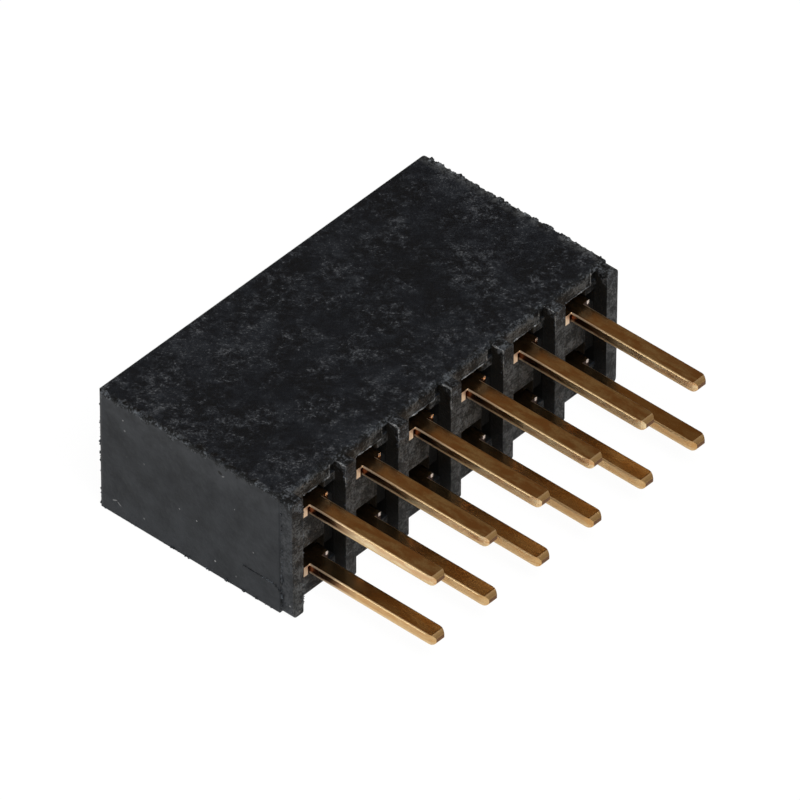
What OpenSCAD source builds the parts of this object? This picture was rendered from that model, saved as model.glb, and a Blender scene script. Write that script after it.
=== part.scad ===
// Female pin header strip: two rows, through-hole tails, straight entry.
// The strip lies on one of its long sides. X runs along the rows, Y is the
// insertion axis with the sockets opening towards +Y and the solder tails
// pointing towards -Y, and Z goes from row B up to row A.
// The origin is under the middle of the whole strip, on the surface it lies on.
// All sizes are in millimetres.

/* [Grid] */
// Distance between neighbouring contacts, along a row and from row to row
pitch = 2.54; // [2:0.01:2.54]
// Number of contacts in each row
columns = 6; // [2:1:20]

/* [Housing] */
// Height of the housing from the board to the mating face
body_h = 8.5; // [8:0.1:11]
// Width of the housing across the two rows
body_w = 5.0; // [4.9:0.02:5.2]
// Plastic beyond the outermost module at each end of the row
end_margin = 0.3; // [0.2:0.02:0.5]
// Radius of the housing's outer edges
edge_r = 0.1; // [0.04:0.01:0.15]
// Radius of its two long edges at the tail side
tail_side_r = 0.2; // [0.15:0.01:0.25]
// Radius of its two upright edges at the mating side
upright_r = 0.25; // [0.15:0.01:0.3]
// How far the feet and ribs stand out below the walls
standoff = 0.48; // [0.2:0.02:0.6]
// Thickness of each rib between two modules
rib_t = 0.5; // [0.4:0.02:0.6]
// How far feet and ribs are set in from the outer faces
foot_inset = 0.05; // [0.05:0.01:0.15]
// How far an end foot leans out towards row A, so that it is nearly flush there
foot_lean = 0.04; // [0:0.01:0.05]
// Corner radius of a foot on its outer side
foot_r = 0.2; // [0.06:0.01:0.25]

/* [Cavity] */
// Thickness of the long wall over row A at the tail side
side_wall = 0.57; // [0.5:0.01:0.7]
// Thickness of the wall between the rows at the tail side
centre_wall = 1.32; // [1.2:0.02:1.4]
// Width of the well over the middle of each contact
well_w = 1.0; // [0.9:0.02:1.4]
// Depth of the well, measured from the board
well_depth = 1.4; // [1.2:0.1:2]
// Height and width of the bore that a pin slides into
bore_w = 1.18; // [1:0.02:1.24]
// Height of each side slot at the mouth of the cavity
mouth_h = 0.66; // [0.5:0.02:0.8]
// Gap under the contact at the mouth of the cavity
mouth_gap = 0.1; // [0.05:0.01:0.15]
// Width of the slot that the contact's barbs bite into
slot_w = 1.96; // [1.9:0.02:2]
// Width and height of the pin entry in the mating face
entry_w = 0.95; // [0.8:0.05:1]
// Width of the funnel where it meets the mating face
funnel_w = 1.55; // [1.2:0.05:1.7]
// Depth of the funnel
funnel_depth = 0.4; // [0.2:0.05:0.5]
// Thickness of the floor that the pin entry goes through
entry_floor = 0.8; // [0.6:0.05:1]

/* [Contact] */
// Thickness of the strip that the contacts are stamped from
strip_t = 0.4; // [0.3:0.02:0.44]
// Width of a solder tail
tail_w = 0.64; // [0.5:0.02:0.7]
// Length of a solder tail below the board face of the feet
tail_len = 5.0; // [2.5:0.05:5.5]
// Width of a tail at its very tip
tip_w = 0.38; // [0.3:0.02:0.5]
// Length over which a tail narrows to its tip
tip_len = 0.5; // [0.3:0.02:0.6]
// Thickness of a tail at its very tip
tip_t = 0.14; // [0.1:0.02:0.3]
// Length of the bevels that thin it down
tip_bevel = 0.2; // [0.1:0.02:0.3]
// Radius of the coined edges along a tail
tail_edge_r = 0.06; // [0.03:0.01:0.1]
// Width of the shoulder that the tail springs from
shoulder_w = 1.16; // [1:0.02:1.24]
// Distance of the shoulder's face from the board
shoulder_y = 0.38; // [0.3:0.02:0.6]
// Width of the blade behind the shoulder
blade_w = 1.8; // [1.6:0.02:1.86]
// Gap between the two tines at the nip, a little less than a pin
nip_gap = 0.54; // [0.5:0.01:0.6]

/* [Hidden] */
$fn = 32;
cut = 1;
body_l = columns * pitch + 2 * end_margin;
seat_y = (tail_len - body_h) / 2;
row_z = pitch / 2;
mid_z = body_w / 2;
bay_w = pitch - rib_t;
rows = ["a", "b"];

// Cavity stations, measured from the board
slot_start = 1.0;
blade_end = 2.6;
cavity_end = body_h - entry_floor;
slot_clear = 0.02;
mouth_floor = -strip_t / 2 - mouth_gap;

// Top of each row's well above its contacts, under the long wall or the centre wall
well_tops = [mid_z - row_z - side_wall, pitch + mouth_floor - centre_wall];

// Shallow reliefs in the ends of the walls beside each rib
relief_half = 0.505;
relief_depth = 0.12;
corner_w = 0.28;
corner_low = 0.15;
corner_high = 0.5;

// Small corner radius of ribs, and of feet on their inner side
rib_r = 0.06;

// Witness line of a mould insert on the -X end: a hairline groove that runs along
// the strip and turns down over the tail-side edge
line_w = 0.04;
line_depth = 0.03;
line_len = 1.25;
line_z = 1.18;
line_turn = 0.45;
line_turn_y = -0.85;

// Contact details
root_overlap = 0.05;
arc_steps = 5;
barb_len = 0.45;
barb_ys = [1.35, 2.05];
tine_root_gap = 0.86;
tine_root_y = 3.1;
tine_out_w = 1.7;
nip_y = 6.55;
nip_r = 0.24;
tine_mouth = 1.0;
tine_end = 7.5;

function column_x(i) = (i - (columns + 1) / 2) * pitch;
function rib_x(i) = (i - columns / 2) * pitch;

// Rectangle centred on the origin with four round corners
module round_rect(w, h, r) {
    square([w - 2 * r, h], center = true);
    square([w, h - 2 * r], center = true);
    for (sx = [-1, 1], sy = [-1, 1])
        translate([sx * (w / 2 - r), sy * (h / 2 - r)]) circle(r);
}

// Box given by its low and high corners
module span(low, high) {
    translate(low) cube(high - low);
}

// Square hole whose width changes evenly from one station on Y to another
module square_funnel(y0, w0, y1, w1) {
    outline = [[-w0 / 2, y0], [w0 / 2, y0], [w1 / 2, y1], [-w1 / 2, y1]];
    intersection() {
        linear_extrude(w0 + w1, center = true) polygon(outline);
        rotate([0, 90, 0]) linear_extrude(w0 + w1, center = true) polygon(outline);
    }
}

// Places children on the axis of one socket, with Y measured from the board
module at_socket(row, i) {
    side = row == "a" ? 1 : -1;
    translate([column_x(i), seat_y, mid_z + side * row_z]) children();
}

// Everything that is open around one contact, from the tail side to the mating face
module cavity(well_top) {
    // Well over the shoulder, then the square bore that the pin slides into
    span([-well_w / 2, standoff - cut, mouth_floor], [well_w / 2, well_depth, well_top]);
    span([-bore_w / 2, slot_start, -bore_w / 2], [bore_w / 2, cavity_end, bore_w / 2]);
    // Slots that the blade slides into: open at the mouth, close in the middle, then free for the tines
    span([-bay_w / 2, standoff - cut, mouth_floor], [bay_w / 2, slot_start, mouth_floor + mouth_h]);
    close_h = strip_t + 2 * slot_clear;
    span([-slot_w / 2, standoff, -close_h / 2], [slot_w / 2, blade_end, close_h / 2]);
    span([-slot_w / 2, blade_end, -mouth_h / 2], [slot_w / 2, cavity_end, mouth_h / 2]);
    // Pin entry and its lead-in
    span([-entry_w / 2, cavity_end - cut, -entry_w / 2], [entry_w / 2, body_h + cut, entry_w / 2]);
    square_funnel(body_h - funnel_depth, entry_w, body_h, funnel_w);
}

// Reliefs in the end of the centre wall, on both sides of one module
module centre_reliefs() {
    low = mid_z - row_z + mouth_floor + mouth_h / 2;
    high = mid_z + row_z + mouth_floor + mouth_h / 2;
    for (side = [0, 1]) mirror([side, 0, 0])
        span([relief_half, standoff - cut, low], [bay_w / 2, standoff + relief_depth, high]);
}

// Small reliefs in the ends of both long walls, in the +X corner of one module
module corner_reliefs() {
    low = standoff - cut;
    high = standoff + relief_depth;
    for (z = [corner_low, body_w - corner_high])
        span([bay_w / 2 - corner_w, low, z], [bay_w / 2, high, z + corner_high - corner_low]);
}

// Block of the housing behind the feet and ribs, with all its edges rounded; the
// two long ones at the tail side and the two upright ones at the mating side more
module body_block() {
    depth = body_h - standoff;
    translate([0, seat_y + standoff + depth / 2, mid_z]) intersection() {
        linear_extrude(body_w, center = true) intersection() {
            round_rect(body_l, depth, edge_r);
            translate([0, -body_w / 2]) round_rect(body_l, depth + body_w, upright_r);
        }
        rotate([90, 0, 0]) linear_extrude(depth, center = true) round_rect(body_l, body_w, edge_r);
        rotate([90, 0, 90]) linear_extrude(body_l, center = true) intersection() {
            round_rect(depth, body_w, edge_r);
            translate([body_w / 2, 0]) round_rect(depth + body_w, body_w, tail_side_r);
        }
    }
}

// The groove of the witness line: its straight length, then a quarter turn
module witness_line() {
    translate([-body_l / 2, line_turn_y, line_z - line_turn]) rotate([90, 0, 90]) {
        translate([0, line_turn - line_w / 2, -line_depth]) cube([line_len, line_w, 2 * line_depth]);
        rotate([0, 0, 90]) rotate_extrude(angle = 90)
            translate([line_turn - line_w / 2, -line_depth]) square([line_w, 2 * line_depth]);
    }
}

// Points round one corner of an outline, a quarter turn from the start angle
function corner(x, y, r, start) = [for (i = [0:arc_steps])
    [x, y] + r * [cos(start + 90 * i / arc_steps), sin(start + 90 * i / arc_steps)]];

// One foot or rib: a bar across the strip that stands on the board, between x0
// and x1, with corner radius r on the x1 side, which leans out towards row A
module bar(x0, x1, r, lean) {
    low = foot_inset;
    high = body_w - foot_inset;
    depth = standoff + 2 * tail_side_r;
    translate([0, seat_y + depth, 0]) rotate([90, 0, 0]) linear_extrude(depth)
        polygon(concat(
            corner(x0 + rib_r, low + rib_r, rib_r, 180),
            corner(x1 - r, low + r, r, 270),
            corner(x1 + lean - r, high - r, r, 0),
            corner(x0 + rib_r, high - rib_r, rib_r, 90)
        ));
}

module housing() {
    foot_out = body_l / 2 - foot_inset;
    foot_in = rib_x(columns) - rib_t / 2;
    color("#222426")
    difference() {
        union() {
            body_block();
            for (i = [1:columns - 1]) bar(rib_x(i) - rib_t / 2, rib_x(i) + rib_t / 2, rib_r, 0);
            for (side = [0, 1]) mirror([side, 0, 0]) bar(foot_in, foot_out, foot_r, foot_lean);
        }
        for (i = [1:columns]) {
            for (r = [0, 1]) at_socket(rows[r], i) cavity(well_tops[r]);
            translate([column_x(i), seat_y, 0]) {
                centre_reliefs();
                corner_reliefs();
            }
        }
        witness_line();
    }
}

// Solder tail: a bar with coined edges, narrowed and slightly bevelled at its tip
module tail() {
    root = shoulder_y + root_overlap;
    length = root + tail_len;
    intersection() {
        translate([0, root - length / 2, 0])
            rotate([90, 0, 0]) linear_extrude(length, center = true) round_rect(tail_w, strip_t, tail_edge_r);
        linear_extrude(strip_t, center = true) tip_outline(tail_w, tip_w, tip_len, root);
        rotate([0, 90, 0]) linear_extrude(tail_w, center = true)
            tip_outline(strip_t, tip_t, tip_bevel, root);
    }
}

// Outline of a tail seen square on: straight down to the taper, whose sides
// curve in to the tip as a quarter ellipse cut off at the tip's width
module tip_outline(w, w_tip, taper, root) {
    reach = acos(w_tip / w);
    side = [for (i = [0:arc_steps]) let (a = reach * i / arc_steps)
        [w / 2 * cos(a), taper * (1 - sin(a) / sin(reach)) - tail_len]];
    other_side = [for (i = [arc_steps:-1:0]) [-side[i].x, side[i].y]];
    polygon(concat([[w / 2, root]], side, other_side, [[-w / 2, root]]));
}

// One tine of the fork, on the +X side
module tine() {
    polygon([
        [tine_root_gap / 2, tine_root_y], [tine_root_gap / 2, blade_end], [blade_w / 2, blade_end],
        [blade_w / 2, tine_root_y], [tine_out_w / 2, nip_y], [tine_out_w / 2 - nip_r / 2, tine_end],
        [tine_mouth / 2, tine_end], [nip_gap / 2 + nip_r / 4, nip_y + nip_r],
        [nip_gap / 2 + nip_r / 4, nip_y - nip_r]
    ]);
    translate([nip_gap / 2 + nip_r, nip_y]) circle(nip_r);
}

// Flat outline of the stamped contact without its tail
module blade_outline() {
    difference() {
        union() {
            // Shoulder
            translate([-shoulder_w / 2, shoulder_y]) square([shoulder_w, blade_end - shoulder_y]);
            // Blade, ending in the round root of the fork
            translate([-blade_w / 2, slot_start + slot_clear])
                square([blade_w, tine_root_y - slot_start - slot_clear]);
            for (side = [0, 1]) mirror([side, 0]) {
                for (y = barb_ys)
                    polygon([
                        [0, y], [slot_w / 2, y], [slot_w / 2, y + barb_len / 4],
                        [blade_w / 2, y + barb_len], [0, y + barb_len]
                    ]);
                tine();
            }
        }
        translate([0, tine_root_y]) circle(tine_root_gap / 2);
    }
}

// One stamped contact: tail, shoulder, barbed blade and a two-tined fork
module contact() {
    color("#9a7138") {
        linear_extrude(strip_t, center = true) blade_outline();
        tail();
    }
}

housing();
for (r = rows, i = [1:columns])
    at_socket(r, i) contact();
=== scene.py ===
# %% [markdown]
# # A female pin header strip
#
# The object is a small moulded connector, about 16 mm long, with twelve gold-plated
# solder tails. It lies on one long side, tails towards the viewer's right. This script
# gives it its looks: the finish of the plastic and the plating, the ragged edges that
# a worn mould leaves, a floor, soft lamps and a camera. Blender works in metres here,
# so a size in millimetres is multiplied by MM.

# %% Load the CAD frame
import math

import bpy
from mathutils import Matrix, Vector


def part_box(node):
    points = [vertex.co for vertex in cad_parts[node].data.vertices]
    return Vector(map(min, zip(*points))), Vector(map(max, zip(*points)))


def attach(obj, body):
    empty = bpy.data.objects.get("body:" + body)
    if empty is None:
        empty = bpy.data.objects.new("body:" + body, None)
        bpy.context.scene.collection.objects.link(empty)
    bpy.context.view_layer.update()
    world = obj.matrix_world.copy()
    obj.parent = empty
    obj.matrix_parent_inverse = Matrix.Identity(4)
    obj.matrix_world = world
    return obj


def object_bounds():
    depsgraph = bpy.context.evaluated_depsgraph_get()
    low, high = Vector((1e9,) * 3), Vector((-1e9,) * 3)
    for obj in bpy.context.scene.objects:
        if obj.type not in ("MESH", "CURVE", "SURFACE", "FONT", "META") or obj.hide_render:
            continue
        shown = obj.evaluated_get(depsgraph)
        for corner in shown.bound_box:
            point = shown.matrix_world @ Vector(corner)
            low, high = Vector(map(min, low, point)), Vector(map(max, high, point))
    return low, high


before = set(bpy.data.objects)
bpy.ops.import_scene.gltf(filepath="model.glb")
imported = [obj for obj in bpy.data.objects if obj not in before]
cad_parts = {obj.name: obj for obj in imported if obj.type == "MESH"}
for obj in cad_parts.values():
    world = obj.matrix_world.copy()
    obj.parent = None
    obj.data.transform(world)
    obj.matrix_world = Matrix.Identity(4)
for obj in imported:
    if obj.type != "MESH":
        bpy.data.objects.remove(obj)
cad_low, cad_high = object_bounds()
MM = 0.001
print("CAD box, mm:", [round(v / MM, 2) for v in (*cad_low, *cad_high)])

# %% [markdown]
# ## Camera
#
# A small part shot from far off with a long lens keeps its parallel edges nearly
# parallel. An ordinary lens close by would make the near tails swell. The camera looks
# down at about 41 degrees across the corner between the left end and the tail side.

# %% Place the camera
AZIMUTH = math.radians(-48.098)
ELEVATION = math.radians(41.0203)
DISTANCE = 0.523882
FOCAL_LENGTH, SENSOR_WIDTH = 728.04, 36
AIM = Vector((-0.49, 0.25, 3.4933)) * MM
towards_camera = Vector((
    math.sin(AZIMUTH) * math.cos(ELEVATION),
    -math.cos(AZIMUTH) * math.cos(ELEVATION),
    math.sin(ELEVATION),
))
lens = bpy.data.cameras.new("long_lens")
lens.lens, lens.sensor_width = FOCAL_LENGTH, SENSOR_WIDTH
lens.clip_start, lens.clip_end = 0.01, 10
camera = bpy.data.objects.new("camera", lens)
bpy.context.scene.collection.objects.link(camera)
camera.location = AIM + towards_camera * DISTANCE
camera.rotation_mode = "QUATERNION"
camera.rotation_quaternion = (-towards_camera).to_track_quat("-Z", "Y")
bpy.context.scene.camera = camera
bpy.context.scene.view_settings.view_transform = "Standard"
print("camera at, mm:", [round(v / MM, 1) for v in camera.location])

# %% [markdown]
# ## Helpers for node trees
#
# Every finish and every ragged edge below is a node tree. Writing one link at a time
# hides the idea, so a few small helpers let a tree read like a formula. `node` adds a
# node and sets or links its inputs. The others wrap the nodes used most: arithmetic, a
# value moved from one range to another, a blend of two values, a mix of two colours,
# two tones picked by a value, and a noise whose lumps have a given size.


# %% Helpers for single nodes
def node(tree, kind, inputs=None, **settings):
    made = tree.nodes.new(kind)
    for key, value in settings.items():
        setattr(made, key, value)
    for key, value in (inputs or {}).items():
        if isinstance(value, bpy.types.NodeSocket):
            tree.links.new(value, made.inputs[key])
        else:
            made.inputs[key].default_value = value
    return made


def maths(tree, operation, *values):
    return node(tree, "ShaderNodeMath", dict(enumerate(values)), operation=operation).outputs[0]


def ramp(tree, value, low, high, to_low=0.0, to_high=1.0):
    return node(tree, "ShaderNodeMapRange", {0: value, 1: low, 2: high, 3: to_low, 4: to_high},
                clamp=True).outputs[0]


def blend(tree, factor, a, b):
    return node(tree, "ShaderNodeMix", {0: factor, 2: a, 3: b}).outputs[0]


def mix(tree, factor, a, b):
    a, b = ((*v, 1) if isinstance(v, tuple) else v for v in (a, b))
    return node(tree, "ShaderNodeMix", {0: factor, 6: a, 7: b}, data_type="RGBA").outputs[2]


def two_tone(tree, value, low, high, dark, pale):
    return mix(tree, ramp(tree, value, low, high), dark, pale)


def noise(tree, where, size, detail=3.0, rough=0.5, distort=0.0):
    return node(tree, "ShaderNodeTexNoise", {
        "Vector": where, "Scale": 1 / size, "Detail": detail, "Roughness": rough,
        "Distortion": distort}).outputs[0]


print("helpers:", [made.__name__ for made in (node, maths, ramp, blend, mix, two_tone, noise)])

# %% [markdown]
# Two more helpers start a material and a node group. The last three give what every
# finish asks for: the place on the object in millimetres, a vector split into its three
# parts, and the direction that a face looks in, taken before any bump tilts it.


# %% Helpers that start a tree
def new_material(name):
    material = bpy.data.materials.new(name)
    material.use_nodes = True
    material.node_tree.nodes.clear()
    return material, material.node_tree


def new_group(name, kind, inputs, outputs):
    tree = bpy.data.node_groups.new(name, kind)
    for side, sockets in (("INPUT", inputs), ("OUTPUT", outputs)):
        for label, (socket, value) in sockets.items():
            made = tree.interface.new_socket(label, in_out=side, socket_type="NodeSocket" + socket)
            if value is not None:
                made.default_value = value
    return tree, node(tree, "NodeGroupInput"), node(tree, "NodeGroupOutput")


def millimetres(tree):
    place = node(tree, "ShaderNodeTexCoord").outputs["Object"]
    return node(tree, "ShaderNodeMapping", {"Vector": place, "Scale": (1 / MM,) * 3}).outputs[0]


def split(tree, vector):
    return node(tree, "ShaderNodeSeparateXYZ", {0: vector}).outputs


def face_direction(tree):
    return split(tree, node(tree, "ShaderNodeNewGeometry").outputs["True Normal"])


STARTERS = (new_material, new_group, millimetres, split, face_direction)
print("more helpers:", [made.__name__ for made in STARTERS])

# %% [markdown]
# ## Floor, world and lamps
#
# The strip lies on a plain white table. The camera sees the table and the backdrop as
# pure white through Light Path, while the table stays a matt surface for most other
# rays, so it still takes the strip's shadow and lends it a soft reflection. It lies a
# hundredth of a millimetre low, so that none of its faces meets one of the strip's.

# %% Floor
CAMERA_SHARE, GLOSS_SHARE = 0.94, 0.15
floor_finish, t = new_material("white_table")
path = node(t, "ShaderNodeLightPath").outputs
direct = maths(t, "MAXIMUM", path["Is Camera Ray"], path["Is Transmission Ray"])
direct = maths(t, "MULTIPLY", direct, CAMERA_SHARE)
glossy = maths(t, "MULTIPLY", path["Is Glossy Ray"], GLOSS_SHARE)
matt = node(t, "ShaderNodeBsdfDiffuse", {"Color": (0.8, 0.8, 0.8, 1)})
glow = node(t, "ShaderNodeEmission", {"Color": (1, 1, 1, 1), "Strength": 1.03})
table = node(t, "ShaderNodeMixShader", {
    0: maths(t, "ADD", direct, glossy), 1: matt.outputs[0], 2: glow.outputs[0]})
node(t, "ShaderNodeOutputMaterial", {"Surface": table.outputs[0]})
bpy.ops.mesh.primitive_plane_add(size=4, location=(0, 0, -0.01 * MM))
floor = bpy.context.object
floor.name = "floor"
floor.data.materials.append(floor_finish)
print("floor:", [round(v, 2) for v in floor.dimensions], "m")

# %% [markdown]
# The room above is dim and warm. That is what the flat tops of the gold tails mirror,
# and it makes them a deep brown.

# %% World
world = bpy.data.worlds.new("studio")
bpy.context.scene.world = world
world.use_nodes = True
t = world.node_tree
t.nodes.clear()
path = node(t, "ShaderNodeLightPath").outputs
direct = maths(t, "MAXIMUM", path["Is Camera Ray"], path["Is Transmission Ray"])
room = node(t, "ShaderNodeBackground", {"Color": (0.125, 0.082, 0.045, 1)})
backdrop = node(t, "ShaderNodeBackground", {"Color": (1, 1, 1, 1)})
around = node(t, "ShaderNodeMixShader", {0: direct, 1: room.outputs[0], 2: backdrop.outputs[0]})
node(t, "ShaderNodeOutputWorld", {"Surface": around.outputs[0]})
print("world:", world.name)

# %% [markdown]
# One soft lamp at the left draws the thin bright line along the edge of each tail. One
# above, on the viewer's side, lights the plastic. Wide disks give soft shadows.

# %% Lamps
LAMP_DISTANCE = 0.6
LAMP_COLOUR = (0.92, 0.97, 1.0)


def soft_lamp(name, direction, size, watts):
    data = bpy.data.lights.new(name, "AREA")
    data.shape = "DISK"
    data.size, data.energy, data.color = size, watts, LAMP_COLOUR
    lamp = bpy.data.objects.new(name, data)
    bpy.context.scene.collection.objects.link(lamp)
    way = Vector(direction).normalized()
    lamp.location = way * LAMP_DISTANCE
    lamp.rotation_mode = "QUATERNION"
    lamp.rotation_quaternion = (-way).to_track_quat("-Z", "Y")


soft_lamp("side_softbox", (-0.80, 0.50, 0.30), 0.2, 0.9)
soft_lamp("top_softbox", (-0.25, -0.5, 0.85), 0.35, 3.6)

# %% [markdown]
# ## Shared surface effects
#
# Glass-filled nylon comes out of a rough mould with a swirled, streaky skin, while the
# parts that a blade or a shut-off touched look torn and grainy. The torn grain recurs
# on the crumbs along the housing's edges, and the swirl takes many nodes, so each is a
# shader node group that puts out masks and a height. Both work in millimetres.
#
# The swirl is one noise, drawn out along the flow of the melt, with slower noises that
# make it calmer or livelier in patches. A much finer noise adds pale flecks, painted
# glints, where the swirl is pale, and dark pits where the skin is lively.

# %% Swirled skin
FLOW_ANGLE = math.radians(48)
swirl_group, inside, out = new_group("swirled_skin", "ShaderNodeTree", {
    "Vector": ("Vector", None),
    "Stretch": ("Float", 0.6),
}, {label: ("Float", None) for label in ("Swirl", "Painted glints", "Pits", "Height")})
t = swirl_group
mm = inside.outputs["Vector"]
turned = node(t, "ShaderNodeMapping", {"Vector": mm, "Rotation": (0, 0, FLOW_ANGLE)})
squeeze = node(t, "ShaderNodeCombineXYZ", {0: inside.outputs["Stretch"], 1: 1.0, 2: 1.0})
drawn = node(t, "ShaderNodeVectorMath", {0: turned.outputs[0], 1: squeeze.outputs[0]},
             operation="MULTIPLY").outputs[0]
streaks = noise(t, drawn, 0.30, 8, 0.86, 0.15)
hairs = noise(t, drawn, 0.065, 3, 0.65, 0.1)
patches = noise(t, mm, 2.2, 3, 0.55)
lively = noise(t, mm, 1.3, 2, 0.5)
swing = maths(t, "MULTIPLY", maths(t, "SUBTRACT", streaks, 0.5), ramp(t, lively, 0.40, 0.58, 0.45, 1.5))
swirl = maths(t, "ADD", maths(t, "ADD", swing, 0.5), ramp(t, patches, 0.35, 0.65, -0.075, 0.03))
painted_glints = maths(t, "MULTIPLY", ramp(t, hairs, 0.575, 0.645), ramp(t, swirl, 0.47, 0.58))
pits = maths(t, "MULTIPLY", ramp(t, hairs, 0.45, 0.39), ramp(t, lively, 0.40, 0.54))
height = maths(t, "ADD", streaks, maths(t, "MULTIPLY", hairs, 0.7))
for label, value in (("Swirl", swirl), ("Painted glints", painted_glints), ("Pits", pits), ("Height", height)):
    t.links.new(value, out.inputs[label])
print("effect:", swirl_group.name, len(t.nodes), "nodes")

# %% [markdown]
# Torn nylon is a fine grain that lies thicker in some places than in others. A fine
# noise of a chosen size is added to a coarse one, and only the fine one gives height.

# %% Torn grain
FINE_SHARE, COARSE_SHARE = 0.6, 0.4
grain_group, inside, out = new_group("torn_grain", "ShaderNodeTree", {
    "Vector": ("Vector", None),
    "Size": ("Float", 0.08),
}, {"Grain": ("Float", None), "Height": ("Float", None)})
t = grain_group
mm = inside.outputs["Vector"]
scale = maths(t, "DIVIDE", 1.0, inside.outputs["Size"])
fine = node(t, "ShaderNodeTexNoise", {
    "Vector": mm, "Scale": scale, "Detail": 3.0, "Roughness": 0.65}).outputs[0]
coarse = noise(t, mm, 0.35, 2, 0.5)
grain = maths(t, "ADD", maths(t, "MULTIPLY", fine, FINE_SHARE), maths(t, "MULTIPLY", coarse, COARSE_SHARE))
t.links.new(grain, out.inputs["Grain"])
t.links.new(fine, out.inputs["Height"])
print("effect:", grain_group.name, len(t.nodes), "nodes")

# %% [markdown]
# ## Black plastic
#
# The housing is one piece of black nylon with three kinds of skin: the broad faces
# along the strip are swirled, the two ends are smooth and mirror the white table a
# little, and the tail side and the mating side are torn and grainy. The true normal
# tells them apart, so one material serves the whole moulding and the finish changes at
# its edges. The sides of the ribs face the same way as the ends, but they don't lie
# outermost.

# %% Faces of the housing
END_DEPTH = 0.1
low, high = (Vector(corner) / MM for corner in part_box("housing"))
plastic, t = new_material("black_moulding")
mm = millimetres(t)
place = split(t, mm)
facing = face_direction(t)
broad = ramp(t, maths(t, "ABSOLUTE", facing[2]), 0.35, 0.8)
sideways = ramp(t, maths(t, "ABSOLUTE", facing[0]), 0.6, 0.9)
outermost = maths(t, "GREATER_THAN", maths(t, "ABSOLUTE", place[0]), high.x - END_DEPTH)
ends = maths(t, "MULTIPLY", sideways, outermost)
rib_sides = maths(t, "SUBTRACT", sideways, ends)
print("housing, mm:", [round(v, 2) for v in (*low, *high)])

# %% [markdown]
# ### Swirled broad faces
#
# The swirl picks a shade between blue black and grey. Its paler shades are partly painted
# sheen, the light that the streaks' relief would catch. Two shades alone would look like
# smoke, so a colour ramp with five of them is used. Pits and painted glints lie on top.

# %% Broad faces
SHADES = (
    (0.38, (0.0008, 0.0020, 0.0040)),
    (0.46, (0.0030, 0.0050, 0.0085)),
    (0.52, (0.0100, 0.0130, 0.0180)),
    (0.58, (0.0280, 0.0320, 0.0390)),
    (0.67, (0.0800, 0.0840, 0.0920)),
)
skin = node(t, "ShaderNodeGroup", {"Vector": mm, "Stretch": 0.85}, node_tree=swirl_group).outputs
swirled = node(t, "ShaderNodeValToRGB", {0: skin["Swirl"]})
stops = swirled.color_ramp.elements
stops[0].position = SHADES[0][0]
stops[1].position = SHADES[-1][0]
for position, _ in SHADES[1:-1]:
    stops.new(position)
for stop, (_, shade) in zip(stops, SHADES):
    stop.color = (*shade, 1)
broad_colour = mix(t, skin["Pits"], swirled.outputs[0], (0.0005, 0.0008, 0.0012))
# Painted glints: pale specks where tiny facets of the skin would catch a lamp.
broad_colour = mix(t, skin["Painted glints"], broad_colour, (0.145, 0.149, 0.157))
print("broad faces:", len(stops), "shades from", round(stops[0].position, 2), "up")

# %% [markdown]
# ### Smooth ends
#
# The ends are softly mottled, and a painted light makes them paler towards the top. The
# outer sides of the two feet are part of them, but they carry some of the torn grain too.

# %% Smooth ends and feet
PALE_FROM, PALE_TO = 3.4, 4.5
STANDOFF, FOOT_GRAIN = 0.48, 0.6
torn = node(t, "ShaderNodeGroup", {"Vector": mm, "Size": 0.08}, node_tree=grain_group).outputs
mottle = noise(t, mm, 0.9, 4, 0.6)
smooth_colour = two_tone(t, mottle, 0.36, 0.64, (0.0080, 0.0092, 0.0118), (0.0195, 0.0215, 0.0255))
# Painted light: paler towards the top of the ends.
pale = maths(t, "MULTIPLY", ramp(t, place[2], PALE_FROM, PALE_TO), ramp(t, mottle, 0.40, 0.60, 0.3, 1.0))
smooth_colour = mix(t, pale, smooth_colour, (0.0325, 0.0350, 0.0395))
foot_side = maths(t, "LESS_THAN", place[1], low.y + STANDOFF)
foot_colour = two_tone(t, torn["Grain"], 0.44, 0.58, (0.006, 0.007, 0.009), (0.055, 0.058, 0.063))
smooth_colour = mix(t, maths(t, "MULTIPLY", foot_side, FOOT_GRAIN), smooth_colour, foot_colour)
print("feet: they stand", STANDOFF, "mm out on the tail side")

# %% [markdown]
# ### Dust and marks on the ends
#
# A few grains of dust lie on the smooth ends: one dot in some of the cells of a flat
# Voronoi pattern, where each cell's own random colour gives its dot a size and decides
# whether it shows. The pattern reads only the place along and up an end, so both ends
# carry the same.

# %% Dust
DUST_GAP, DUST_SIZE = 0.8, 0.042
BIGGEST = DUST_SIZE / DUST_GAP
flat = node(t, "ShaderNodeCombineXYZ", {0: place[1], 1: place[2]}).outputs[0]
grains = node(t, "ShaderNodeTexVoronoi", {"Vector": flat, "Scale": 1 / DUST_GAP},
              voronoi_dimensions="2D").outputs
lucky = node(t, "ShaderNodeSeparateColor", {0: grains["Color"]}).outputs
dot = maths(t, "LESS_THAN", grains["Distance"], ramp(t, lucky[1], 0.0, 1.0, 0.4 * BIGGEST, BIGGEST))
dust = maths(t, "MULTIPLY", dot, ramp(t, lucky[0], 0.80, 1.0))
smooth_colour = mix(t, dust, smooth_colour, (0.26, 0.26, 0.26))
print("dust: grains up to", DUST_SIZE, "mm, one cell every", DUST_GAP, "mm")

# %% [markdown]
# Handling has left two short scratches, a pit and a nick. Each is a small oval with a
# place along and up the end, a slope in degrees, two half sizes and a shade.

# %% Marks
SCRATCH, PIT, NICK = (0.19,) * 3, (0.0005,) * 3, (0.20,) * 3
MARKS = (
    (6.00, 0.66, -25, 0.13, 0.030, SCRATCH),
    (5.80, 0.60, 35, 0.12, 0.025, SCRATCH),
    (1.35, 4.56, 20, 0.12, 0.080, PIT),
    (1.22, 4.47, -30, 0.08, 0.025, NICK),
)


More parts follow.
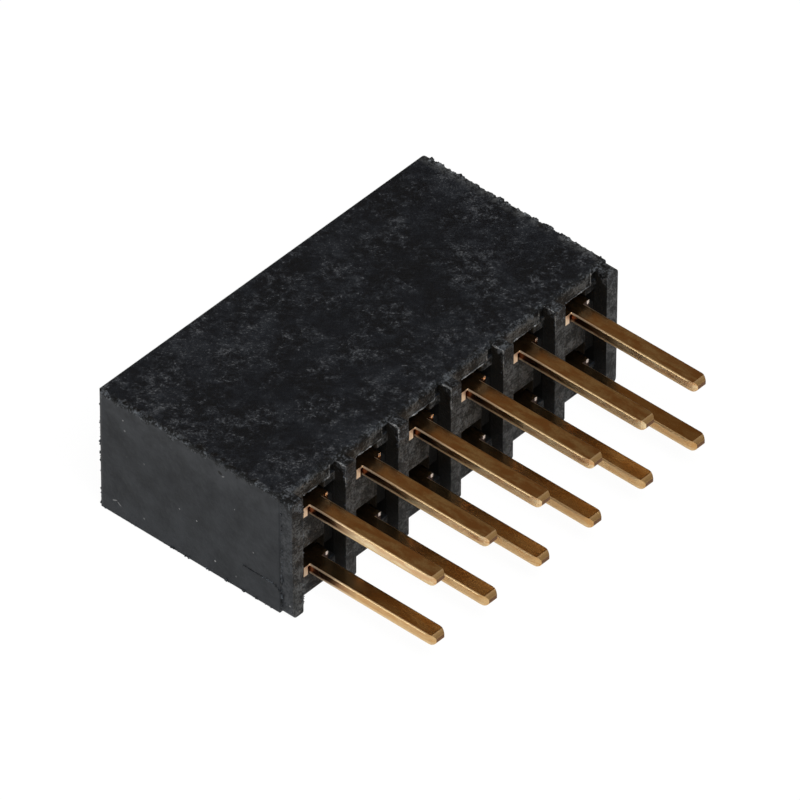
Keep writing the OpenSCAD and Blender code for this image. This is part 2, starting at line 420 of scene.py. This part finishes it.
def mark(tree, where, y, z, degrees, length, width):
    local = node(tree, "ShaderNodeMapping", {
        "Vector": where, "Location": (y, z, 0), "Rotation": (0, 0, math.radians(degrees)),
        "Scale": (length, width, 1)}, vector_type="TEXTURE").outputs[0]
    reach = node(tree, "ShaderNodeVectorMath", {0: local}, operation="LENGTH").outputs["Value"]
    return ramp(tree, reach, 1.0, 0.6)


for *oval, shade in MARKS:
    smooth_colour = mix(t, mark(t, flat, *oval), smooth_colour, shade)
print("marks:", len(MARKS))

# %% [markdown]
# ### Torn tail side and mating side
#
# Black and grey grains lie side by side here, and a painted shade darkens the sides of the ribs.
# Then the masks put the three skins in their places.

# %% Torn skin and ribs
torn_colour = two_tone(t, torn["Grain"], 0.47, 0.57, (0.0016, 0.0018, 0.0019), (0.076, 0.077, 0.077))
# Painted shade on the sides of the ribs.
rib_shade_colour = mix(t, torn["Grain"], (0.001, 0.001, 0.001), (0.016, 0.016, 0.015))
torn_colour = mix(t, rib_sides, torn_colour, rib_shade_colour)
colour = mix(t, ends, torn_colour, smooth_colour)
colour = mix(t, broad, colour, broad_colour)
print("skins: torn, smooth and swirled")

# %% [markdown]
# ### Worn edges
#
# Along the top's ragged edges the skin itself is broken: at both ends, over the tail
# side and at the rear left corner. The distance to the nearest of these edges, made
# uneven by noise, gives the mask.

# %% Broken skin along the top edges
WORN, CORNER_REACH = 0.2, 0.2
rear_left = (low.x, high.y, high.z)
from_ends = maths(t, "SUBTRACT", high.x, maths(t, "ABSOLUTE", place[0]))
from_tails = maths(t, "SUBTRACT", place[1], low.y + STANDOFF)
below_top = maths(t, "SUBTRACT", high.z, place[2])
from_edge = maths(t, "ADD", maths(t, "MINIMUM", from_ends, from_tails), below_top)
from_corner = node(t, "ShaderNodeVectorMath", {0: mm, 1: rear_left}, operation="DISTANCE").outputs["Value"]
from_edge = maths(t, "MINIMUM", from_edge, maths(t, "SUBTRACT", from_corner, CORNER_REACH))
crumble = noise(t, mm, 0.34, 5, 0.72)
from_edge = maths(t, "ADD", from_edge, ramp(t, crumble, 0.3, 0.7, -WORN, WORN))
worn = ramp(t, from_edge, WORN, WORN / 2)
crumb_colour = two_tone(t, torn["Grain"], 0.49, 0.60, (0.0008, 0.0011, 0.0015), (0.096, 0.104, 0.115))
colour = mix(t, worn, colour, crumb_colour)
print("broken skin: up to", 2 * WORN, "mm from the top edges")

# %% [markdown]
# A paler, rubbed rim runs along the far end of the broad faces, strongest at the very
# edge and grainy.

# %% Rubbed rim
RIM = 0.42
rim = ramp(t, maths(t, "SUBTRACT", high.x, place[0]), RIM, RIM / 4)
rim = maths(t, "MULTIPLY", rim, broad)
rim = maths(t, "MULTIPLY", rim, ramp(t, torn["Grain"], 0.45, 0.57, 0.05, 1.0))
colour = mix(t, rim, colour, (0.088, 0.091, 0.093))
print("rim:", RIM, "mm wide")

# %% [markdown]
# ### Cavities
#
# The walls of the cavities get a painted shade, the darkest colour here, and they are
# matt. They are whatever lies deeper than a thin skin inside the housing's box, behind the
# ends of its walls. The distance to the box's middle along each axis finds them, so no
# face has to be picked by hand.

# %% Dark cavities
SKIN = 0.06
middle = (low + high) / 2
reach = (high - low) / 2 - Vector((SKIN, SKIN, SKIN))
cavity = maths(t, "GREATER_THAN", place[1], low.y + STANDOFF + SKIN)
for axis in range(3):
    away = maths(t, "ABSOLUTE", maths(t, "SUBTRACT", place[axis], middle[axis]))
    cavity = maths(t, "MULTIPLY", cavity, maths(t, "LESS_THAN", away, reach[axis]))
# Painted shade deep inside the cavities.
colour = mix(t, cavity, colour, (0.0022, 0.0022, 0.0019))
print("cavities: inside a box of, mm:", [round(2 * v, 2) for v in reach])

# %% [markdown]
# ### Relief and shine
#
# Each skin has its own height: the grain of the torn one, the quiet mottle of the
# smooth one and the streaks of the swirled one. A single Bump node reads whichever
# lies there. Nylon is only softly glossy, and the swirl makes its gloss uneven.

# %% Relief and shine of the plastic
RELIEF, QUIET = 0.05 * MM, 0.6
relief = blend(t, ends, torn["Height"], maths(t, "MULTIPLY", mottle, QUIET))
relief = blend(t, broad, relief, skin["Height"])
bump = node(t, "ShaderNodeBump", {"Height": relief, "Strength": 1.0, "Distance": RELIEF})
roughness = ramp(t, skin["Swirl"], 0.3, 0.7, 0.55, 0.40)
roughness = blend(t, cavity, roughness, 0.7)
shader = node(t, "ShaderNodeBsdfPrincipled", {
    "Base Color": colour, "Specular IOR Level": 0.25, "Normal": bump.outputs[0],
    "Roughness": roughness})
node(t, "ShaderNodeOutputMaterial", {"Surface": shader.outputs[0]})
print("finish:", plastic.name, len(t.nodes), "nodes")

# %% [markdown]
# ## Crumbs and flash
#
# The edges of the moulding are ragged: tiny chips of nylon and glass hang on them, some
# pale, some black. They get materials of their own, because a broken surface scatters
# more light than a moulded one, and a thin lip more still. The three differ only in
# their darkest and palest shade. The same torn grain, made finer, picks between them.


# %% Broken nylon
def broken_nylon(name, dark, pale):
    material, tree = new_material(name)
    torn = node(tree, "ShaderNodeGroup", {"Vector": millimetres(tree), "Size": 0.04},
                node_tree=grain_group).outputs
    bump = node(tree, "ShaderNodeBump", {
        "Height": torn["Height"], "Strength": 0.5, "Distance": 0.01 * MM})
    shader = node(tree, "ShaderNodeBsdfPrincipled", {
        "Base Color": two_tone(tree, torn["Grain"], 0.46, 0.60, dark, pale),
        "Roughness": ramp(tree, torn["Grain"], 0.3, 0.7, 0.65, 0.45),
        "Specular IOR Level": 0.3, "Normal": bump.outputs[0]})
    node(tree, "ShaderNodeOutputMaterial", {"Surface": shader.outputs[0]})
    return material


crumbs = broken_nylon("broken_nylon", (0.002, 0.0025, 0.0032), (0.085, 0.094, 0.108))
pale_crumbs = broken_nylon("pale_broken_nylon", (0.008, 0.009, 0.010), (0.150, 0.158, 0.170))
thin_lip = broken_nylon("thin_flash", (0.060, 0.062, 0.064), (0.330, 0.335, 0.340))
print("broken nylon:", [made.name for made in (crumbs, pale_crumbs, thin_lip)])

# %% [markdown]
# ## Gold plating
#
# The tails are stamped from brass strip and plated with a thin film of gold. The stamp
# leaves a tail's two sides sheared and its long edges coined. Coined edges are matt, and
# their pale colour is partly a painted highlight; with the light they catch from every
# side, they draw a line from the root to the tip. The true normal finds them: a sheared
# side faces straight along the row of tails, and only the coined edges and the bevels of
# the tip slope.

# %% Faces of a tail
gold, t = new_material("gold_plating")
mm = millimetres(t)
place = split(t, mm)
facing = face_direction(t)
across, endways, up = (maths(t, "ABSOLUTE", facing[axis]) for axis in range(3))
sheared = ramp(t, across, 0.88, 0.98)
slope = maths(t, "MULTIPLY", maths(t, "MAXIMUM", across, endways), up)
coined = ramp(t, slope, 0.12, 0.34)
tip_bevel = maths(t, "MULTIPLY", ramp(t, endways, 0.25, 0.45), ramp(t, up, 0.25, 0.45))
print("faces of a tail: flat, sheared, coined and the bevels of the tip")

# %% [markdown]
# ### Places on a tail
#
# The rows and the columns are one pitch apart, so wrapping a position by the pitch
# gives the place about one tail's own axis, whichever tail it is. Along the tail, one
# value rises from nothing to full at the root, where the tail leaves the housing.

# %% Places along and across a tail
PITCH, LOW_ROW_Z = 2.54, 1.23
ROOT, BRIGHT_FROM = -1.4, -3.4
TIP = cad_low.y / MM
half = PITCH / 2
near_root = ramp(t, place[1], BRIGHT_FROM, ROOT)
in_column = maths(t, "WRAP", maths(t, "ADD", place[0], half), half, -half)
in_strip = maths(t, "WRAP", maths(t, "SUBTRACT", place[2], LOW_ROW_Z), half, -half)
lower_row = maths(t, "LESS_THAN", place[2], LOW_ROW_Z + half)
print("tails, mm: from", ROOT, "to", round(TIP, 2))

# %% [markdown]
# ### Shoulder and tip
#
# A tail springs from a wider shoulder. In its left half, the shoulder's face gets a painted
# highlight along the side and the top. The rest gets a painted shade, with one small
# painted glint at the far corner. The tip's end is sheared too and has its own mask.

# %% Shoulder and tip
HIGHLIGHT_X, HIGHLIGHT_Z = -0.39, 0.13
GLINT_X, GLINT_Z = 0.47, 0.06
AT_ROOT, TIP_DEPTH = 0.9, 0.05
shoulder = maths(t, "MULTIPLY", ramp(t, endways, 0.85, 0.95), maths(t, "GREATER_THAN", near_root, AT_ROOT))
bright_band = maths(t, "MAXIMUM", maths(t, "LESS_THAN", in_column, HIGHLIGHT_X),
              maths(t, "GREATER_THAN", in_strip, HIGHLIGHT_Z))
left_half = maths(t, "LESS_THAN", in_column, 0.0)
# Painted highlight on the shoulder's face, along its left side and the left half of its top.
shoulder_highlight = maths(t, "MULTIPLY", shoulder, maths(t, "MULTIPLY", bright_band, left_half))
# Painted shade on the rest of the shoulder's face.
shoulder_shade = maths(t, "SUBTRACT", shoulder, shoulder_highlight)
# A small painted glint at the shoulder's far corner.
glint = maths(t, "MULTIPLY", maths(t, "GREATER_THAN", in_column, GLINT_X),
              maths(t, "GREATER_THAN", in_strip, GLINT_Z))
at_tip = maths(t, "LESS_THAN", place[1], TIP + TIP_DEPTH)
tip_end = maths(t, "MULTIPLY", ramp(t, endways, 0.90, 0.98), at_tip)
print("shoulder: bright left of", HIGHLIGHT_X, "mm or above", HIGHLIGHT_Z, "mm")

# %% [markdown]
# ### Clouded film
#
# The film is never quite even: it clouds from a redder to a yellower gold, with fine
# darker specks everywhere but on the sides. The clouds run along the tails, so their
# noise is stretched that way. The sheared sides take a paler tint, a painted reflection of
# the white table. The lower row is browner, a painted reflection of the upper row's gold,
# and both rows change tone near the root. Close to the housing, the sheared sides are
# painted a dark red brown, a painted shade and a painted reflection of the dark housing.

# %% Colour of the film
SIDE_REFLECTION, LOW_ROW_REFLECTION, ROOT_TINT = 0.2, 0.6, 0.7
along = node(t, "ShaderNodeMapping", {"Vector": mm, "Scale": (1, 0.3, 1)}).outputs[0]
cloud = noise(t, along, 0.28, 5, 0.62, 0.4)
grain = noise(t, mm, 0.05, 3, 0.7)
specks = maths(t, "MULTIPLY", ramp(t, grain, 0.46, 0.62, 0.0, 0.5), maths(t, "SUBTRACT", 1.0, across))
# Painted shade and a painted reflection of the dark housing on the sheared sides near the root.
root_side_shade = maths(t, "MULTIPLY", sheared, maths(t, "POWER", near_root, 0.5))
root_colour = mix(t, lower_row, (0.86, 0.50, 0.24), (1.0, 0.65, 0.35))
film = two_tone(t, cloud, 0.42, 0.58, (0.76, 0.43, 0.19), (1.0, 0.78, 0.46))
film = mix(t, specks, film, (0.60, 0.40, 0.18))
# Paler sheared sides: a painted reflection of the white table.
film = mix(t, maths(t, "MULTIPLY", sheared, SIDE_REFLECTION), film, (0.93, 0.78, 0.55))
# Browner lower row: a painted reflection of the upper row's gold.
film = mix(t, maths(t, "MULTIPLY", lower_row, LOW_ROW_REFLECTION), film, (0.58, 0.30, 0.08))
film = mix(t, maths(t, "MULTIPLY", near_root, ROOT_TINT), film, root_colour)
film = mix(t, root_side_shade, film, (0.18, 0.045, 0.012))
print("film: clouded gold, dark brown on the sides near the root")

# %% [markdown]
# ### Edges
#
# The bottom of a sheared side ends in a matt burr, which wavers a little and is painted
# pale as a highlight. The burr, the shoulder's painted highlight and the coined edges share
# one mask. Away from the root, the edges on a tail's far side get a painted shade.

# %% Colour of the edges
ragged = maths(t, "ADD", in_strip, ramp(t, cloud, 0.3, 0.7, -0.02, 0.02))
burr_highlight = maths(t, "MULTIPLY", sheared, ramp(t, ragged, -0.06, -0.11))
matt_edge_and_highlight = maths(t, "MAXIMUM", maths(t, "MAXIMUM", coined, burr_highlight), shoulder_highlight)
# Painted shade on the far-side edges away from the root.
far_edge_shade = maths(t, "MULTIPLY", ramp(t, facing[0], 0.2, 0.4), ramp(t, near_root, 0.9, 0.4))
# Painted highlight: the pale edge colour, palest near the root.
edge_highlight_and_shade = mix(t, near_root, (0.86, 0.62, 0.34), (0.98, 0.78, 0.58))
edge_highlight_and_shade = mix(t, far_edge_shade, edge_highlight_and_shade, (0.13, 0.065, 0.028))
edge_highlight_and_shade = mix(t, tip_bevel, edge_highlight_and_shade, (0.48, 0.30, 0.13))
film = mix(t, matt_edge_and_highlight, film, edge_highlight_and_shade)
print("edges: coined, burred and cut")

# %% [markdown]
# The shaded part of the shoulder is painted nearly black, apart from its painted glint.
# The very end of a tail is dark brown, between the golden bevels of its tip.

# %% Colour of the shoulder and the tip
shoulder_shade_colour = mix(t, glint, (0.035, 0.014, 0.007), (1.0, 0.85, 0.75))
film = mix(t, shoulder_shade, film, shoulder_shade_colour)
film = mix(t, tip_end, film, (0.17, 0.075, 0.028))
print("shoulder and tip: dark, with a glint")

# %% [markdown]
# ### Shine of the gold
#
# Rolling leaves fine lines along the brass. They give the flat faces their brushed
# shine and a faint relief. The sheared sides are rougher, in slow patches, and the pale
# edges are matt.

# %% Shine of the gold
MATT = 0.5
lines = node(t, "ShaderNodeMapping", {"Vector": mm, "Scale": (1, 0.12, 1)}).outputs[0]
rolled = noise(t, lines, 0.05, 3, 0.6)
slow = noise(t, along, 0.4, 1, 0.5)
roughness = ramp(t, rolled, 0.3, 0.7, 0.16, 0.26)
roughness = blend(t, sheared, roughness, ramp(t, slow, 0.35, 0.65, 0.22, 0.36))
roughness = blend(t, matt_edge_and_highlight, roughness, MATT)
bump = node(t, "ShaderNodeBump", {
    "Height": rolled, "Strength": ramp(t, sheared, 0.0, 1.0, 0.07, 0.03), "Distance": 0.01 * MM})
shader = node(t, "ShaderNodeBsdfPrincipled", {
    "Base Color": film, "Metallic": 1.0, "Normal": bump.outputs[0], "Roughness": roughness})
node(t, "ShaderNodeOutputMaterial", {"Surface": shader.outputs[0]})
print("finish:", gold.name, len(t.nodes), "nodes")

# %% [markdown]
# The CAD pieces keep their meshes. Each only gets one of the two finishes.

# %% Give every CAD piece its finish
for name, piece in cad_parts.items():
    piece.data.materials.clear()
    piece.data.materials.append(plastic if name == "housing" else gold)
print("finished:", len(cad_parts), "CAD pieces")

# %% [markdown]
# ## Chips along an edge
#
# The ragged edge could be carved into the housing's mesh, but the CAD mesh stays as it
# is, so the raggedness is added on top instead: a Geometry Nodes tree walks along the
# edge, scatters small faceted chips about it and lets noise decide where they lie thick
# and where the edge stays clean. Each random value has its own offset from the seed, so
# that a chip's place, size and turn don't follow one another.

# %% Chips: inputs, and random values
chips_tree, inside, out = new_group("edge_chips", "GeometryNodeTree", {
    "Edges": ("Geometry", None),
    "Spacing": ("Float", 0.02 * MM),
    "Chip": ("Float", 0.03 * MM),
    "Scatter": ("Float", 0.05 * MM),
    "Share": ("Float", 0.6),
    "Seed": ("Int", 1),
    "Finish": ("Material", None),
}, {"Chips": ("Geometry", None)})
t = chips_tree
get = inside.outputs


def random(tree, kind, least, most, seed, offset):
    shifted = maths(tree, "ADD", seed, float(offset))
    first = {"FLOAT_VECTOR": 0, "FLOAT": 2}[kind]
    return node(tree, "FunctionNodeRandomValue", {first: least, first + 1: most, 8: shifted},
                data_type=kind).outputs[first // 2]


print("inputs of the chips:", [socket.name for socket in get if socket.name])

# %% [markdown]
# The edge becomes points at even spacing. A random value keeps a share of them, more of
# them where a slow noise is high, and another moves each one a little off the edge.

# %% Chips: points scattered about the edge
curve = node(t, "GeometryNodeMeshToCurve", {0: get["Edges"]})
points = node(t, "GeometryNodeCurveToPoints", {0: curve.outputs[0], "Length": get["Spacing"]}, mode="LENGTH")
here = node(t, "GeometryNodeInputPosition").outputs[0]
thick = ramp(t, noise(t, here, 0.45 * MM, 2, 0.5), 0.38, 0.56, 0.15, 1.0)
kept = maths(t, "LESS_THAN", random(t, "FLOAT", 0.0, 1.0, get["Seed"], 0),
             maths(t, "MULTIPLY", get["Share"], thick))
shift = node(t, "ShaderNodeVectorMath", {
    0: random(t, "FLOAT_VECTOR", (-1, -1, -1), (1, 1, 1), get["Seed"], 7),
    "Scale": get["Scatter"]}, operation="SCALE")
spread = node(t, "GeometryNodeSetPosition", {0: points.outputs[0], "Offset": shift.outputs[0]})
print("points of the chips:", len(t.nodes), "nodes")

# %% [markdown]
# A chip is a ball of only 20 faces, stretched at random and turned by up to a full turn
# about each axis. Squaring its random size makes small chips common and big ones rare.

# %% Chips: one at every point
TURN = 6.28
ball = node(t, "GeometryNodeMeshIcoSphere", {"Radius": 1.0, "Subdivisions": 1})
luck = maths(t, "POWER", random(t, "FLOAT", 0.35, 1.0, get["Seed"], 13), 2.0)
shape = node(t, "ShaderNodeVectorMath", {
    0: random(t, "FLOAT_VECTOR", (0.5, 0.5, 0.5), (1.4, 1.4, 1.4), get["Seed"], 19),
    "Scale": maths(t, "MULTIPLY", get["Chip"], luck)}, operation="SCALE")
chips = node(t, "GeometryNodeInstanceOnPoints", {
    0: spread.outputs[0], 1: kept, 2: ball.outputs[0], "Scale": shape.outputs[0],
    "Rotation": random(t, "FLOAT_VECTOR", (0, 0, 0), (TURN, TURN, TURN), get["Seed"], 29)})
solid = node(t, "GeometryNodeRealizeInstances", {0: chips.outputs[0]})
coated = node(t, "GeometryNodeSetMaterial", {0: solid.outputs[0], "Material": get["Finish"]})
t.links.new(coated.outputs[0], out.inputs[0])
print("tree:", t.name, len(t.nodes), "nodes")

# %% [markdown]
# ## Flash along an edge
#
# Where two mould halves meet, nylon creeps out as a thin wavy lip. It is made as a
# fine thread that wanders about the edge and swells and thins with noise. `Least` is
# how thin it gets: near nothing for flash that comes and goes, about half for a ridge
# that never ends. The seed moves the noise aside, so that no two threads are alike.

# %% Flash: inputs, and a wavy line
SEED_STEP = 0.01
flash_tree, inside, out = new_group("edge_flash", "GeometryNodeTree", {
    "Edges": ("Geometry", None),
    "Step": ("Float", 0.03 * MM),
    "Thickness": ("Float", 0.02 * MM),
    "Wander": ("Float", 0.05 * MM),
    "Lumps": ("Float", 0.0),
    "Least": ("Float", 0.05),
    "Seed": ("Int", 1),
    "Finish": ("Material", None),
}, {"Flash": ("Geometry", None)})
t = flash_tree
get = inside.outputs
curve = node(t, "GeometryNodeMeshToCurve", {0: get["Edges"]})
steps = node(t, "GeometryNodeResampleCurve", {0: curve.outputs[0], "Length": get["Step"]}, mode="LENGTH")
here = node(t, "GeometryNodeInputPosition").outputs[0]
aside = node(t, "ShaderNodeCombineXYZ", {0: maths(t, "MULTIPLY", get["Seed"], SEED_STEP)})
moved = node(t, "ShaderNodeVectorMath", {0: here, 1: aside.outputs[0]}).outputs[0]
drift = node(t, "ShaderNodeTexNoise", {"Vector": moved, "Scale": 1 / (0.25 * MM), "Detail": 3.0})
centred = node(t, "ShaderNodeVectorMath", {0: drift.outputs[1], 1: (0.5, 0.5, 0.5)}, operation="SUBTRACT")
offset = node(t, "ShaderNodeVectorMath", {0: centred.outputs[0], "Scale": get["Wander"]}, operation="SCALE")
wavy = node(t, "GeometryNodeSetPosition", {0: steps.outputs[0], "Offset": offset.outputs[0]})
print("inputs of the flash:", [socket.name for socket in get if socket.name])

# %% [markdown]
# A ring is swept along the wavy line, and its size swells and thins. Then `Lumps`
# pushes the thread's skin in and out, which makes a thick thread look like torn nylon.

# %% Flash: a lumpy thread on the line
swell = ramp(t, noise(t, moved, 0.3 * MM, 3, 0.6), 0.42, 0.66, get["Least"], 1.0)
ring = node(t, "GeometryNodeCurvePrimitiveCircle", {"Resolution": 8, "Radius": 1.0})
thread = node(t, "GeometryNodeCurveToMesh", {
    0: wavy.outputs[0], 1: ring.outputs[0], "Scale": maths(t, "MULTIPLY", get["Thickness"], swell),
    "Fill Caps": True})
pitted = maths(t, "SUBTRACT", noise(t, here, 0.15 * MM, 3, 0.6), 0.5)
outwards = node(t, "GeometryNodeInputNormal").outputs[0]
push = node(t, "ShaderNodeVectorMath", {
    0: outwards, "Scale": maths(t, "MULTIPLY", pitted, get["Lumps"])}, operation="SCALE")
lumpy = node(t, "GeometryNodeSetPosition", {0: thread.outputs[0], "Offset": push.outputs[0]})
solid = node(t, "GeometryNodeRealizeInstances", {0: lumpy.outputs[0]})
coated = node(t, "GeometryNodeSetMaterial", {0: solid.outputs[0], "Material": get["Finish"]})
t.links.new(coated.outputs[0], out.inputs[0])
print("tree:", t.name, len(t.nodes), "nodes")

# %% [markdown]
# ## Growing a piece
#
# `grow` makes a mesh of bare edges from lines in millimetres, runs one of the two trees
# on it, and keeps the result as a plain mesh that belongs to the housing. The tree's
# inputs are set first, each through its socket's identifier. The modifier is taken off
# at the end, because its result is now the mesh itself.


# %% Grow chips or flash on a set of edges
def grow(name, tree, lines, finish, seed, **sizes):
    corners, edges = [], []
    for line in lines:
        first = len(corners)
        corners += [Vector(corner) * MM for corner in line]
        edges += [(first + i, first + i + 1) for i in range(len(line) - 1)]
    mesh = bpy.data.meshes.new(name + "_edges")
    mesh.from_pydata(corners, edges, [])
    piece = bpy.data.objects.new(name, mesh)
    bpy.context.scene.collection.objects.link(piece)
    modifier = piece.modifiers.new(name, "NODES")
    modifier.node_group = tree
    values = {"Seed": seed, "Finish": finish}
    values.update({label.capitalize(): size for label, size in sizes.items()})
    for item in tree.interface.items_tree:
        if item.name in values:
            modifier[item.identifier] = values[item.name]
    evaluated = piece.evaluated_get(bpy.context.evaluated_depsgraph_get())
    plain = bpy.data.meshes.new_from_object(evaluated)
    piece.modifiers.clear()
    piece.data = plain
    plain.name = name
    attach(piece, "root")
    print(f"{name}: {len(plain.polygons)} faces")


# %% [markdown]
# ## Where the edges are
#
# The numbers repeat the CAD model's grid, in millimetres: columns one pitch apart, ribs
# half a pitch to the side, and walls that stop short of the ribs. Most edges are given
# a little inside the true ones, by a hair where the chips are small and by more where
# they are big, so that what grows on them stays close to the moulding. An upright edge
# is given by its place and by how far it stays clear of the table and of the top.

# %% Sizes of the housing
COLUMNS, RIB = 6, 0.5
SIDE_WALL, INSET, CORNER = 0.57, 0.05, 0.28
UPRIGHT_R = 0.25
ROUND = UPRIGHT_R * (1 - math.sqrt(0.5))
LEFT, RIGHT, FRONT, BACK, TOP = low.x, high.x, low.y, high.y, high.z
WALL = FRONT + STANDOFF
FOOT_IN = LEFT + (RIGHT - LEFT - (COLUMNS * PITCH - RIB)) / 2
HAIR, SHALLOW, INSIDE = 0.02, 0.05, 0.07
CLEAR = 0.3
COLUMN_X = [(i - (COLUMNS - 1) / 2) * PITCH for i in range(COLUMNS)]
RIB_X = [(i - COLUMNS / 2 + 1) * PITCH for i in range(COLUMNS - 1)]


def upright(x, y, above_table, below_top):
    return [(x, y, above_table), (x, y, TOP - below_top)]


print("columns at x, mm:", [round(x, 2) for x in COLUMN_X])

# %% [markdown]
# ### Edges of the two ends
#
# The left end and the top meet in a crumbling edge, with chips that lie thick, and the
# far end's top edge has fewer and bigger ones.

# %% Chips along the top of the ends
LEFT_GAP, RIGHT_GAP = 0.1, 0.22
left_top = [
    (LEFT + INSIDE, WALL + LEFT_GAP, TOP - INSIDE),
    (LEFT + INSIDE, BACK - UPRIGHT_R - LEFT_GAP, TOP - INSIDE),
]
right_top = [
    (RIGHT - INSIDE, WALL + RIGHT_GAP, TOP - INSIDE),
    (RIGHT - INSIDE, BACK - UPRIGHT_R, TOP - INSIDE),
    (RIGHT - ROUND - INSIDE, BACK - ROUND - INSIDE, TOP - INSIDE),
]
grow("left_edge_chips", chips_tree, [left_top], crumbs, 3,
     spacing=0.012 * MM, chip=0.050 * MM, scatter=0.06 * MM, share=0.7)
grow("right_edge_chips", chips_tree, [right_top], crumbs, 5,
     spacing=0.030 * MM, chip=0.060 * MM, scatter=0.05 * MM, share=0.8)

# %% [markdown]
# Finer chips follow the left end's other edges and the feet.

# %% Chips on the other edges of the ends
left_back = upright(LEFT + ROUND, BACK - ROUND, 0.12, 0.45)
left_front = upright(LEFT + HAIR, WALL - HAIR, 0.2, 0.15)
left_low = [(LEFT + 0.01, WALL + LEFT_GAP, 0.09), (LEFT + 0.01, BACK - CLEAR, 0.09)]
foot_front = upright(LEFT + INSET + HAIR, FRONT + 0.03, CLEAR, CLEAR)
foot_inner = upright(FOOT_IN, FRONT + HAIR, 0.2, CLEAR)
right_foot = upright(RIGHT - INSET - 2 * HAIR, FRONT + 4 * HAIR, CLEAR, CLEAR)
grow("thin_edge_chips", chips_tree, [left_back, left_low, left_front], crumbs, 8,
     spacing=0.03 * MM, chip=0.050 * MM, scatter=0.018 * MM, share=0.45)
grow("foot_chips", chips_tree, [foot_front, foot_inner, right_foot], pale_crumbs, 17,
     spacing=0.013 * MM, chip=0.034 * MM, scatter=0.035 * MM, share=0.6)

# %% [markdown]
# The mould insert leaves a witness line on the left end. It runs level from the middle
# of the end towards the tails, then turns down in a quarter of a circle.

# %% Chips on the witness line
TURN_R, TURN_Y, LINE_Z, LINE_END = 0.45, -0.85, 1.18, 0.4
TURN_STEPS = 6
LINE_X = LEFT + HAIR
witness = [(LINE_X, LINE_END, LINE_Z), (LINE_X, TURN_Y, LINE_Z)]
for step in range(1, TURN_STEPS + 1):
    angle = math.pi / 2 * step / TURN_STEPS
    witness.append((LINE_X, TURN_Y - TURN_R * math.sin(angle), LINE_Z - TURN_R * (1 - math.cos(angle))))
grow("witness_chips", chips_tree, [witness], crumbs, 19,
     spacing=0.012 * MM, chip=0.042 * MM, scatter=0.035 * MM, share=0.9)

# %% [markdown]
# A torn ridge runs all along the far end's top edge. The left end's is thinner, and it
# comes and goes.

# %% Ridges along the top of the ends
grow("right_edge_ridge", flash_tree, [right_top], pale_crumbs, 25,
     step=0.025 * MM, thickness=0.125 * MM, wander=0.10 * MM, lumps=0.20 * MM, least=0.45)
grow("left_edge_ridge", flash_tree, [left_top], crumbs, 27,
     step=0.025 * MM, thickness=0.055 * MM, wander=0.10 * MM, lumps=0.10 * MM)

# %% [markdown]
# ### Tail side
#
# Chips lie along the tops of the walls between the ribs and on the ribs' own edges.
# Thin flash hangs from the ceilings of the cavities and follows the ribs' upper ends.

# %% Chips and flash at the tail side
HALF_WIDTH = (PITCH - RIB) / 2
FLASH_FROM, RIB_RUN = 0.5, 0.9
LIP = WALL - 0.015
wall_tops, ceilings, rib_fronts, rib_edges = [], [], [], []
for x in COLUMN_X:
    corner_x = x + HALF_WIDTH - CORNER
    wall_tops.append([
        (x - HALF_WIDTH, WALL + SHALLOW, TOP - SHALLOW),
        (x + HALF_WIDTH, WALL + SHALLOW, TOP - SHALLOW),
    ])
    ceilings.append([
        (x - FLASH_FROM, LIP, TOP - SIDE_WALL),
        (corner_x, LIP, TOP - SIDE_WALL),
        (corner_x, LIP, TOP - INSET),
    ])
for x in RIB_X:
    side_x = x - RIB / 2
    rib_fronts.append(upright(side_x + HAIR, FRONT + HAIR, CLEAR, CLEAR))
    rib_edges.append([
        (side_x, WALL, TOP - INSET),
        (side_x, FRONT, TOP - INSET),
        (side_x, FRONT, TOP - RIB_RUN),
    ])
grow("wall_top_chips", chips_tree, wall_tops + rib_edges, crumbs, 13,
     spacing=0.014 * MM, chip=0.034 * MM, scatter=0.06 * MM, share=0.7)
grow("rib_chips", chips_tree, rib_fronts, crumbs, 15,
     spacing=0.02 * MM, chip=0.030 * MM, scatter=0.03 * MM, share=0.45)
grow("wall_flash", flash_tree, ceilings + rib_edges, thin_lip, 21,
     step=0.03 * MM, thickness=0.038 * MM, wander=0.06 * MM, lumps=0.04 * MM)
